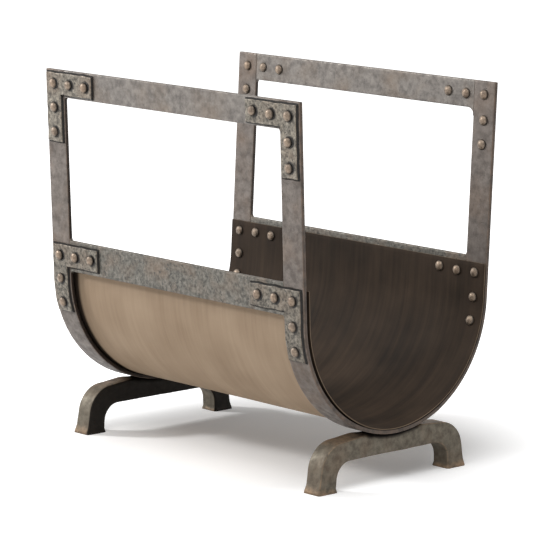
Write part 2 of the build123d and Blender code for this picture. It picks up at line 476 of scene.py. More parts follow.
def add_node(
    tree: bpy.types.NodeTree,
    kind: str,
    inputs: dict[str | int, object] | None = None,
    **settings: object,
) -> bpy.types.Node:
    """Adds a shader node with its settings, values and links.

    Args:
        tree: node tree of the material or the world.
        kind: Blender's name for the node's type.
        inputs: values or output sockets by the name or number of each input.
        settings: attributes of the node.

    Returns:
        The new node.
    """
    node = tree.nodes.new(kind)
    for key, value in settings.items():
        setattr(node, key, value)
    for key, value in (inputs or {}).items():
        if isinstance(value, bpy.types.NodeSocket):
            tree.links.new(value, node.inputs[key])
        else:
            node.inputs[key].default_value = value
    return node


def new_material(name: str) -> tuple[bpy.types.Material, bpy.types.NodeTree]:
    """Makes an empty node material.

    Args:
        name: name of the real material.

    Returns:
        The material and its node tree.
    """
    material = bpy.data.materials.new(name)
    material.use_nodes = True
    material.node_tree.nodes.clear()
    return material, material.node_tree


def per_metre(size_mm: float) -> float:
    """Returns the texture scale at which one feature is size_mm across."""
    return 1.0 / (size_mm * MM)


@dataclass(frozen=True)
class BurnishedIron:
    """Mild steel bar with forge scale that was wire-brushed and waxed.

    The eye sees a dark mottled grey-brown, satin rather than shiny, with small pits
    that stay black and arrises rubbed back to a warm brown. Scale and wax cover most
    of the metal, so it is only about half metallic. Patterns are sized in millimetres.
    """

    name: str
    scale_colour: str = "#6b645d"
    dark_colour: str = "#3f3a34"
    brown_colour: str = "#75604e"
    worn_colour: str = "#a08a74"
    # Colour of the painted shade that the mesh carries.
    painted_shade_colour: str = "#120f0c"
    mottle: float = 7.0
    patch: float = 38.0
    pit: float = 2.6
    # Where the noise of the pits falls below this share, there is a pit with an edge this soft.
    pit_share: float = 0.36
    pit_edge: float = 0.08
    brown_share: float = 0.45
    wear_share: float = 0.7
    metallic: float = 0.45
    roughness: float = 0.5
    specular: float = 0.5
    # Depth of the fine bump in millimetres.
    relief: float = 0.25
    bump_strength: float = 0.8
    # Values of the noise between which each layer rises from nothing to its full share.
    mottle_range: tuple[float, float] = (0.36, 0.66)
    patch_range: tuple[float, float] = (0.45, 0.72)
    wear_range: tuple[float, float] = (0.3, 0.6)
    rough_range: tuple[float, float] = (0.3, 0.7)
    # Change of roughness in the dark and in the light spots of the mottling.
    rough_swing: tuple[float, float] = (0.12, -0.1)

    def material(self) -> bpy.types.Material:
        """Builds the material: mottled scale, brown patches, black pits, worn arrises, a fine bump and
        painted shade.

        Returns:
            The finished material.
        """
        material, tree = new_material(self.name)
        where = add_node(tree, "ShaderNodeTexCoord").outputs["Object"]
        mottle, patch, pits = (
            add_node(
                tree,
                "ShaderNodeTexNoise",
                {"Vector": where, "Scale": per_metre(size), "Detail": detail, "Roughness": roughness},
            ).outputs["Fac"]
            for size, detail, roughness in (
                (self.mottle, 6.0, 0.65),
                (self.patch, 3.0, 0.5),
                (self.pit, 2.0, 0.5),
            )
        )
        worn, soot = (
            add_node(tree, "ShaderNodeAttribute", attribute_name=label).outputs["Fac"]
            for label in ("wear", "soot")
        )
        rub = add_node(tree, "ShaderNodeMath", {0: worn, 1: mottle}, operation="MULTIPLY").outputs["Value"]
        pit_range = (self.pit_share, self.pit_share - self.pit_edge)
        dark_rough, light_rough = (self.roughness + swing for swing in self.rough_swing)
        shade, rust, hole, rubbed, rough = (
            add_node(
                tree,
                "ShaderNodeMapRange",
                {"Value": value, "From Min": start, "From Max": stop, "To Min": low, "To Max": high},
            ).outputs["Result"]
            for value, (start, stop), low, high in (
                (mottle, self.mottle_range, 0.0, 1.0),
                (patch, self.patch_range, 0.0, self.brown_share),
                (pits, pit_range, 0.0, 1.0),
                (rub, self.wear_range, 0.0, self.wear_share),
                (mottle, self.rough_range, dark_rough, light_rough),
            )
        )
        colour: tuple[float, ...] | bpy.types.NodeSocket = linear(self.dark_colour)
        for share, layer in (
            (shade, self.scale_colour),
            (rust, self.brown_colour),
            (hole, self.dark_colour),
            (rubbed, self.worn_colour),
            # Last, the painted shade that the mesh carries.
            (soot, self.painted_shade_colour),
        ):
            mixed = add_node(
                tree,
                "ShaderNodeMix",
                {"Factor": share, "A": colour, "B": linear(layer)},
                data_type="RGBA",
            )
            colour = mixed.outputs["Result"]
        height = add_node(tree, "ShaderNodeMath", {0: mottle, 1: hole}, operation="SUBTRACT")
        bump = add_node(
            tree,
            "ShaderNodeBump",
            {"Height": height.outputs["Value"], "Strength": self.bump_strength, "Distance": self.relief * MM},
        )
        shader = add_node(
            tree,
            "ShaderNodeBsdfPrincipled",
            {
                "Base Color": colour,
                "Metallic": self.metallic,
                "Roughness": rough,
                "Specular IOR Level": self.specular,
                "Normal": bump.outputs["Normal"],
            },
        )
        add_node(tree, "ShaderNodeOutputMaterial", {"Surface": shader.outputs["BSDF"]})
        return material


@dataclass(frozen=True)
class OxidisedSheet:
    """Thin rolled steel sheet with a satin brown oxide.

    The eye sees a smooth taupe skin outside, with faint streaks that run round the roll.
    The much darker brown inside is painted shade. The oxide hides nearly all of the metal's shine.
    """

    name: str = "oxidised_sheet_steel"
    light_colour: str = "#a5917b"
    dark_colour: str = "#8f7b66"
    # Painted shade: the darker browns that stand for the shade inside the cradle.
    shaded_inner_light_colour: str = "#41352b"
    shaded_inner_dark_colour: str = "#1f1812"
    # Sizes of the patterns in millimetres.
    streak_width: float = 9.0
    streak_length: float = 150.0
    cloud: float = 70.0
    metallic: float = 0.1
    roughness: float = 0.72
    specular: float = 0.12
    # Sums of the two patterns at which the skin is darkest and lightest.
    shade_range: tuple[float, float] = (0.65, 1.35)
    rough_swing: tuple[float, float] = (-0.08, 0.1)
    # Depth of the streaks in millimetres.
    relief: float = 0.05
    bump_strength: float = 0.3

    def material(self) -> bpy.types.Material:
        """Builds the material: long soft streaks and clouds over a satin base, with darker browns for painted
        shade.

        Returns:
            The finished material.
        """
        material, tree = new_material(self.name)
        where = add_node(tree, "ShaderNodeTexCoord").outputs["Object"]
        along = per_metre(self.streak_length)
        stretch = (per_metre(self.streak_width), along, along)
        drawn = add_node(tree, "ShaderNodeMapping", {"Vector": where, "Scale": stretch}).outputs["Vector"]
        # The mapping has already stretched the streaks to their size, so their own scale is one.
        streaks, clouds = (
            add_node(
                tree,
                "ShaderNodeTexNoise",
                {"Vector": vector, "Scale": scale, "Detail": detail, "Roughness": roughness},
            ).outputs["Fac"]
            for vector, scale, detail, roughness in (
                (drawn, 1.0, 4.0, 0.6),
                (where, per_metre(self.cloud), 3.0, 0.5),
            )
        )
        both = add_node(tree, "ShaderNodeMath", {0: streaks, 1: clouds}, operation="ADD").outputs["Value"]
        low_rough, high_rough = (self.roughness + swing for swing in self.rough_swing)
        shade, rough = (
            add_node(
                tree,
                "ShaderNodeMapRange",
                {"Value": value, "From Min": start, "From Max": stop, "To Min": low, "To Max": high},
            ).outputs["Result"]
            for value, (start, stop), low, high in (
                (both, self.shade_range, 0.0, 1.0),
                (streaks, (0.0, 1.0), low_rough, high_rough),
            )
        )
        # Where the painted shade of the inside is laid, also on the edges and beside the hoops.
        inside = add_node(tree, "ShaderNodeAttribute", attribute_name="soot").outputs["Fac"]
        skin, dark = (
            add_node(
                tree,
                "ShaderNodeMix",
                {"Factor": shade, "A": linear(deep), "B": linear(pale)},
                data_type="RGBA",
            ).outputs["Result"]
            for deep, pale in (
                (self.dark_colour, self.light_colour),
                (self.shaded_inner_dark_colour, self.shaded_inner_light_colour),
            )
        )
        colour = add_node(
            tree,
            "ShaderNodeMix",
            {"Factor": inside, "A": skin, "B": dark},
            data_type="RGBA",
        )
        bump = add_node(
            tree,
            "ShaderNodeBump",
            {"Height": streaks, "Strength": self.bump_strength, "Distance": self.relief * MM},
        )
        shader = add_node(
            tree,
            "ShaderNodeBsdfPrincipled",
            {
                "Base Color": colour.outputs["Result"],
                "Metallic": self.metallic,
                "Roughness": rough,
                "Specular IOR Level": self.specular,
                "Normal": bump.outputs["Normal"],
            },
        )
        add_node(tree, "ShaderNodeOutputMaterial", {"Surface": shader.outputs["BSDF"]})
        return material


def finish_piece(piece: bpy.types.Object, node: str, material: bpy.types.Material) -> None:
    """Gives a piece its material, ties it to the body and hides the solid that it stands for.

    Args:
        piece: the dressed mesh.
        node: name of the solid it replaces.
        material: material of the whole piece.
    """
    piece.data.materials.append(material)
    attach(piece, BODY)
    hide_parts(node)
    log.info("%s: %d faces, %s", piece.name, len(piece.data.polygons), material.name)


@dataclass
class Hoops:
    """The two flat bars bent to a U, with lightly hammered faces and rubbed arrises."""

    sizes: HolderSizes
    pitch: float = 2.2
    rim: float = 0.8
    hammering: Hammering = Hammering(
        blow=11.0,
        blow_depth=0.14,
        lump=30.0,
        lump_depth=0.2,
        grain_depth=0.05,
        seed=1,
    )
    # The edges wander this much round the bend, in waves of this length from this layer of the noise,
    # and run straight over the bend's last stretch.
    wander: float = 0.3
    wander_length: float = 34.0
    wander_layer: float = 3.0
    straight_stretch: float = 40.0
    # Painted shade on the edges that look into the holder and on those that look out of its ends.
    inward_painted_shade: float = 0.85
    outward_painted_shade: float = 0.42

    def build(self) -> None:
        """Builds and dresses both hoops."""
        # Flat bar with tight forge scale: an even warm grey with soft, large mottling and hardly any shine.
        material = BurnishedIron(
            "burnished_iron_bar",
            scale_colour="#726a64",
            dark_colour="#544d48",
            brown_colour="#6f5b4a",
            worn_colour="#775a42",
            # Colour of the painted shade on the edges and under the sheet.
            painted_shade_colour="#1c140f",
            mottle=11.0,
            specular=0.35,
        ).material()
        size = self.sizes
        reach = size.hoop.half_arc + size.bar_end_rise
        covered = size.hoop.half_arc + size.rail_top(Level.LOWER) - size.sheet_top_drop
        for end in End:
            centre = end.value * size.hoop_x
            half = size.bar_width / 2
            columns = grid_lines(centre - half, centre + half, self.pitch, self.rim)

            def trim(x: float, run: float) -> tuple[float, float]:
                """Lets the bar's edges wander a little round the bend, but not where rails meet them.

                Args:
                    x: place along the holder.
                    run: length along the bar from its lowest point.

                Returns:
                    Both, with x shifted.
                """
                bend_end = size.hoop.half_arc
                loose = 1 - smooth_step(bend_end - self.straight_stretch, bend_end, abs(run))
                spot = Vector((run / self.wander_length, x / self.wander_length, self.wander_layer))
                sway = self.wander * noise.noise(spot)
                inward = 0 if abs(x - centre) < self.pitch else math.copysign(1, centre - x)
                return x + sway * loose * inward, run

            def blackness(face: Face, x: float, run: float) -> float:
                """Paints shade: black where the sheet covers the inner face, and darker on the edges of the
                bar.

                Args:
                    face: face of the bar.
                    x: place along the holder.
                    run: length along the bar from its lowest point.

                Returns:
                    The painted shade, from 0 to 1.
                """
                if face is Face.INNER:
                    return 1.0 if abs(run) < covered else 0.0
                if face is Face.WALL:
                    return self.inward_painted_shade if (centre - x) * end.value > 0 else self.outward_painted_shade
                return 0.0

            slab = Slab(
                name=f"{end.name.lower()}_hoop_bar",
                columns=columns,
                rows=grid_lines(-reach, reach, self.pitch, self.rim),
                place=size.hoop.place,
                inner=-size.bar_thickness,
                outer=0.0,
                rim=self.rim,
                hammering=self.hammering,
                trim=trim,
                blackness=blackness,
                wall_rings=3,
            )
            finish_piece(slab.build(), f"{end.name.lower()}_hoop", material)


@dataclass
class Rails:
    """The four rails, with dressed welds in their corners: smooth top rails, hammered mid rails."""

    sizes: HolderSizes
    pitch: float = 2.0
    rim: float = 0.8
    # Sizes of the dressed welds, which have this many steps along their curve.
    weld: float = 3.0
    large_weld: float = 10.0
    weld_steps: int = 4
    top_hammering: Hammering = Hammering(
        blow=7.0,
        blow_depth=0.3,
        lump=24.0,
        lump_depth=0.25,
        grain=2.6,
        grain_depth=0.14,
        seed=2,
    )
    mid_hammering: Hammering = Hammering(
        blow=6.5,
        blow_depth=0.5,
        lump=16.0,
        lump_depth=0.35,
        grain=2.8,
        grain_depth=0.2,
        seed=3,
    )
    # Share of the relief that a top rail keeps in its middle, and where this rises to the whole of it.
    smooth_middle: float = 0.25
    smooth_reach: tuple[float, float] = (0.35, 0.8)

    def build(self) -> None:
        """Builds and dresses the four rails."""
        # Wire-brushed flat bar: the palest iron of the holder, a clean grey with small soft mottling.
        top_finish = BurnishedIron(
            "wire_brushed_iron_rail",
            scale_colour="#7c7670",
            dark_colour="#595450",
            brown_colour="#71604f",
            worn_colour="#5a493b",
            mottle=9.0,
        ).material()
        # Hammered flat bar with scale left in the hollows: a cold grey, speckled black by coarse pits.
        mid_finish = BurnishedIron(
            "hammered_iron_rail",
            scale_colour="#716d65",
            dark_colour="#3f3d38",
            worn_colour="#5f5041",
            mottle=5.0,
            pit=4.6,
            pit_share=0.4,
        ).material()
        for side in Side:
            for level in Level:
                piece = self.rail(side, level)
                if level is Level.TOP:
                    finish_piece(piece, f"{side.name.lower()}_top_rail", top_finish)
                else:
                    finish_piece(piece, f"{side.name.lower()}_mid_rail", mid_finish)

    def weld_size(self, side: Side, level: Level, x: float) -> float:
        """Returns the size of the dressed weld at the rail's end nearest to x."""
        large = side is Side.REAR and level is Level.TOP and x > 0
        return self.large_weld if large else self.weld

    def rail(self, side: Side, level: Level) -> bpy.types.Object:
        """Builds one rail.

        Args:
            side: long side of the holder.
            level: height of the rail.

        Returns:
            The rail's mesh object.
        """
        size = self.sizes
        half = size.length / 2 - size.bar_width
        high = size.rail_top(level)
        low = high - size.rail_width(level)
        weld_lines = [step * self.weld / self.weld_steps for step in range(1, self.weld_steps)]
        weld_columns = {end.value * (half - line) for end in End for line in weld_lines}
        columns = sorted({*grid_lines(-half, half, self.pitch, self.rim), *weld_columns})
        runs = sorted(size.hoop.run_at(side, rise) for rise in grid_lines(low, high, self.pitch, self.rim))
        middle = size.hoop.run_at(side, (low + high) / 2)

        def trim(x: float, run: float) -> tuple[float, float]:
            """Widens the rail into its dressed welds.

            Args:
                x: place along the rail.
                run: length along the section of the holder from its lowest point.

            Returns:
                Both, with the run moved out at a weld.
            """
            away = (run - middle) * side.value
            if level is Level.TOP and away > 0:
                return x, run
            weld = self.weld_size(side, level, x)
            gap = half - abs(x)
            if gap >= weld:
                return x, run
            flare = weld - math.sqrt(weld**2 - (weld - gap) ** 2)
            return x, run + side.value * flare * away / ((high - low) / 2)

        def share(x: float, run: float) -> float:
            """Keeps the middle of a top rail smoother than its ends.

            Args:
                x: place along the rail.
                run: length along the section of the holder from its lowest point; not used.

            Returns:
                The share of the relief there.
            """
            if level is Level.LOWER:
                return 1.0
            rise = smooth_step(*self.smooth_reach, abs(x) / half)
            return self.smooth_middle + (1 - self.smooth_middle) * rise

        slab = Slab(
            name=f"{side.name.lower()}_{'top' if level is Level.TOP else 'mid'}_rail_bar",
            columns=columns,
            rows=runs,
            place=size.hoop.place,
            inner=-size.bar_thickness,
            outer=0.0,
            rim=self.rim,
            hammering=self.top_hammering if level is Level.TOP else self.mid_hammering,
            trim=trim,
            relief_share=share,
            wall_rings=3,
        )
        return slab.build()


@dataclass
class CornerPlates:
    """The eight L-shaped plates, cut by hand and hammered, with wavy edges."""

    sizes: HolderSizes
    pitch: float = 1.5
    rim: float = 0.7
    # Clearance under the plate, so that its back never shows through the bar.
    off_bar: float = 0.02
    # How far the hand-cut outline strays, and the length of its waves.
    wander: float = 0.85
    wander_length: float = 13.0
    hammering: Hammering = Hammering(
        blow=6.5,
        blow_depth=0.6,
        lump=12.0,
        lump_depth=0.6,
        grain=2.6,
        grain_depth=0.1,
        seed=4,
    )
    # How far the sheared walls lean out towards the bar, which widens their painted shade.
    shear_slope: float = 1.8
    # Painted shadow round each rivet head, shifted towards +X away from the key lamp: its shift along the
    # rail, its radius and its fading rim.
    lee_shift: float = 2.5
    shadow_reach: float = 6.8
    shadow_fade: float = 1.4
    # Even painted shade on the lower plates, which get less light than the top ones.
    lower_painted_shade: float = 0.2
    # Steps through the noise that make each plate differ by its side, end and height, and u from v.
    side_salt: float = 3.1
    end_salt: float = 1.7
    top_salt: float = 0.9
    down_salt: float = 7.7

    def build(self) -> None:
        """Builds and dresses the eight plates."""
        # Hammered plate, brushed after riveting: pale high spots over nearly black hollows and pits.
        material = BurnishedIron(
            "hammered_iron_plate",
            scale_colour="#8d8578",
            dark_colour="#3f3b35",
            worn_colour="#8f7c68",
            mottle=4.4,
            pit=3.4,
            pit_share=0.4,
        ).material()
        for side in Side:
            for end in End:
                for level in Level:
                    node = f"{side.name.lower()}_{end.name.lower()}_{level.value}_plate"
                    finish_piece(self.plate(side, end, level), node, material)

    def plate(self, side: Side, end: End, level: Level) -> bpy.types.Object:
        """Builds one plate.

        Args:
            side: long side of the holder.
            end: end of the holder.
            level: height of the plate.

        Returns:
            The plate's mesh object.
        """
        size = self.sizes
        outer_x = size.hoop_x + size.plate_width / 2
        top = size.corner_rise(level) + size.plate_width / 2
        width, leg = size.plate_width, size.plate_leg
        lines = grid_lines(0, width, self.pitch, self.rim) + grid_lines(width, leg, self.pitch, self.rim)[1:]
        salt = side.value * self.side_salt + end.value * self.end_salt
        salt += self.top_salt if level is Level.TOP else 0.0

        def keep(across: float, down: float) -> bool:
            """Keeps the cells of the two legs."""
            return across < width or down < width

        def trim(across: float, down: float) -> tuple[float, float]:
            """Shifts the outline as a hand cut does.

            Args:
                across: distance from the plate's outer edge.
                down: distance from the plate's upper edge.

            Returns:
                Both, shifted.
            """
            spot = Vector((across / self.wander_length, down / self.wander_length, salt))
            other = spot + Vector((0, 0, self.down_salt))
            return across + self.wander * noise.noise(spot), down + self.wander * noise.noise(other)

        middle = width / 2
        heads = [(middle + i * size.rivet_pitch, middle) for i in range(size.rivets_per_leg)]
        heads += [(middle, middle + i * size.rivet_pitch) for i in range(1, size.rivets_per_leg)]

        def blackness(face: Face, across: float, down: float) -> float:
            """Paints shade: the walls black, a shadow beside each rivet head, and an even shade on the lower
            plates.

            Args:
                face: face of the plate.
                across: distance from the plate's outer edge.
                down: distance from the plate's upper edge.

            Returns:
                The painted shade, from 0 to 1.
            """
            # The walls are painted black as shade.
            if face is not Face.OUTER:
                return 1.0 if face is Face.WALL else 0.0
            # Painted shadow of the heads, shifted towards +X.
            shadow_across = across + end.value * self.lee_shift
            near = min(math.hypot(shadow_across - a, down - d) for a, d in heads)
            overall = self.lower_painted_shade if level is Level.LOWER else 0.0
            return max(overall, 1 - smooth_step(self.shadow_reach, self.shadow_reach + self.shadow_fade, near))

        def place(across: float, down: float, out: float) -> Vector:
            """Lays the plate on the outer face of the bars."""
            return size.hoop.place(end.value * (outer_x - across), size.hoop.run_at(side, top - down), out)

        slab = Slab(
            name=f"{side.name.lower()}_{end.name.lower()}_{level.value}_corner_plate",
            columns=lines,
            rows=lines,
            place=place,
            inner=self.off_bar,
            outer=size.plate_thickness,
            rim=self.rim,
            hammering=replace(self.hammering, seed=self.hammering.seed + salt),
            keep=keep,
            trim=trim,
            blackness=blackness,
            base_spread=self.shear_slope,
        )
        return slab.build()


@dataclass
class CradleSheet:
    """The thin rolled sheet inside the hoops, with the slight waves of hand rolling."""

    sizes: HolderSizes
    pitch: float = 5.0
    rim: float = 0.4
    # How much of the painted shade of the inside is laid on the sheared edges.
    edge_darkness: float = 0.45
    # Width of the painted shadow strip that the left hoop leaves on the sheet beside it.
    shadow_reach: float = 5.0
    # The sheet's own weight lets it down by this much, most of all at this run, over this reach.
    sag: float = 1.75
    sag_run: float = -30.0
    sag_reach: float = 60.0
    # Waves of hand rolling, which end between these shares of the half length, before the hoops.
    waves: Hammering = Hammering(blow_depth=0.0, lump=95.0, lump_depth=0.25, grain_depth=0.0, seed=5)
    wave_reach: tuple[float, float] = (0.7, 0.9)

    def build(self) -> None:
        """Builds and dresses the sheet."""
        size = self.sizes
        half = size.length / 2 - size.sheet_setback
        reach = size.sheet.half_arc + size.sheet.rise_at(size.mid_rail_top - size.sheet_top_drop)

        def place(x: float, run: float, out: float) -> Vector:
            """Moves both faces of the sheet together, so that it keeps its thickness.

            Args:
                x: place along the holder.
                run: length along the section from its lowest point.
                out: distance outward from the sheet's outer face.

            Returns:
                The point in millimetres.
            """
            quiet = 1 - smooth_step(*self.wave_reach, abs(x) / half)
            wave = self.waves.depth(x, run, 0) * quiet
            rest = self.sag * math.exp(-(((run - self.sag_run) / self.sag_reach) ** 2))
            return size.sheet.place(x, run, out + wave + rest)

        def blackness(face: Face, x: float, run: float) -> float:
            """Paints shade on the inside, on the edges, and on the outer face under and beside the hoops.

            Args:
                face: face of the sheet.
                x: place along the holder.
                run: length along the section from its lowest point; not used.

            Returns:
                The share of the painted shade, from 0 to 1.
            """
            if face is Face.INNER:
                return 1.0
            if face is Face.WALL:
                return self.edge_darkness
            hoop_edge = half - size.bar_width
            return 1.0 if x < self.shadow_reach - hoop_edge or x > hoop_edge + self.pitch else 0.0

        slab = Slab(
            name="cradle_sheet_skin",
            columns=grid_lines(-half, half, self.pitch, self.rim),
            rows=grid_lines(-reach, reach, self.pitch, self.rim),
            place=place,
            inner=-size.sheet_thickness,
            outer=0.0,
            rim=self.rim,
            hammering=self.waves,
            relief_share=lambda u, v: 0.0,
            blackness=blackness,
        )
        finish_piece(slab.build(), "cradle_sheet", OxidisedSheet().material())


@dataclass
class Rivets:
    """The rivets of the eight plates: hand-set domes with flats left by the hammer."""

    sizes: HolderSizes
    seed: int = 11
    segments: int = 16
    tiers: int = 5
    # The dome rises to this angle, above which a small flat is left by the last blow.
    crown: float = math.radians(80)
    # Depth and width of the hammer's dents, which would end at this angle below the seat.
    dent: float = 0.45
    dent_size: float = 3.4
    dent_fade: float = 0.3
    # How far a head strays from its place in the row, and how deep its seat reaches into the plate.
    drift: float = 0.8
    seat_overlap: float = 0.15
    # Shares of the nominal head's radius and height: hand-set heads come out wider and flatter.
    radius_range: tuple[float, float] = (1.05, 1.13)
    height_range: tuple[float, float] = (0.95, 1.0)
    # Length of noise from which each head takes its own dents.
    salt_span: float = 90.0
    # Shares of the height between which the painted shade at the seat fades away.
    seat_shade_reach: tuple[float, float] = (0.2, 0.6)

    def build(self) -> None:
        """Builds and dresses the eight groups of rivets."""
        # Soft iron rivets, burnished by the hammer: warm brown domes with a small satin glint.
        material = BurnishedIron(
            "burnished_rivet_iron",
            scale_colour="#8a7a6a",
            dark_colour="#5f5348",
            brown_colour="#846c57",
            metallic=0.5,
            roughness=0.46,
            mottle=4.0,
            wear_share=0.3,
        ).material()
        dice = random.Random(self.seed)
        for side in Side:
            for end in End:
                for level in Level:
                    name = f"{side.name.lower()}_{end.name.lower()}_{level.value}_rivets"
                    piece = self.group(side, end, level, dice)
                    finish_piece(piece, name, material)

    def group(self, side: Side, end: End, level: Level, dice: random.Random) -> bpy.types.Object:
        """Builds the heads on both ends of a plate's rivets.

        Args:
            side: long side of the holder.
            end: end of the holder.
            level: height of the plate.
            dice: source of the small differences between heads.

        Returns:
            One mesh object that holds all the heads as closed domes.
        """
        size = self.sizes
        points: list[Vector] = []
        faces: list[list[int]] = []
        wear: list[float] = []
        soot: list[float] = []
        for x, rise in size.rivet_points(end, level):
            x += dice.uniform(-1, 1) * self.drift
            run = size.hoop.run_at(side, rise + dice.uniform(-1, 1) * self.drift)
            outward = size.hoop.outward(run)
            for seat, facing in ((size.plate_thickness, 1), (-size.inner_seat(side, level, rise), -1)):
                base = size.hoop.place(x, run, seat - facing * self.seat_overlap)
                self.dome(base, outward * facing, dice, points, faces, wear, soot)
        name = f"{side.name.lower()}_{end.name.lower()}_{level.value}_rivet_heads"
        return mesh_object(name, points, faces, wear, soot)

    def dome(
        self,
        base: Vector,
        axis: Vector,
        dice: random.Random,
        points: list[Vector],
        faces: list[list[int]],
        wear: list[float],
        soot: list[float],
    ) -> None:
        """Adds one domed head to the lists of a group's mesh.

        Args:
            base: middle of the head's flat seat.
            axis: direction in which the head stands.
            dice: source of the head's own size and dents.
            points: corners of the group so far.
            faces: faces of the group so far.
            wear: wear of each corner so far.
            soot: painted shade of each corner so far.
        """
        radius = self.sizes.head_radius * dice.uniform(*self.radius_range)
        height = self.sizes.head_height * dice.uniform(*self.height_range)
        turn = dice.uniform(0, math.tau)
        salt = dice.uniform(0, self.salt_span)
        across = Vector((1, 0, 0))
        up = axis.cross(across)
        start = len(points)
        for tier in range(self.tiers):
            angle = self.crown * tier / (self.tiers - 1)
            for step in range(self.segments):
                spin = turn + math.tau * step / self.segments
                flat, steep = math.cos(angle), math.sin(angle)
                ray = Vector((math.cos(spin) * flat, math.sin(spin) * flat, steep))
                spot = ray * (radius / self.dent_size) + Vector((salt, 0, 0))
                cell = noise.voronoi(spot)[0][0] - CELL_MEAN
                dent = self.dent * cell * math.sin(angle + self.dent_fade) if tier else 0.0
                r = radius * math.hypot(ray.x, ray.y) + dent * flat
                h = max((height + dent) * steep, 0)
                points.append(base + across * (r * math.cos(spin)) + up * (r * math.sin(spin)) + axis * h)
                wear.append(steep)
                # Painted shade round the foot of the dome, fading up its side.
                soot.append(1 - smooth_step(*self.seat_shade_reach, steep))
        for tier in range(self.tiers - 1):
            for step in range(self.segments):
                a = start + tier * self.segments + step
                b = start + tier * self.segments + (step + 1) % self.segments
                faces.append([a, b, b + self.segments, a + self.segments])
        faces.append([start + step for step in reversed(range(self.segments))])
        crown_start = start + (self.tiers - 1) * self.segments
        faces.append([crown_start + step for step in range(self.segments)])


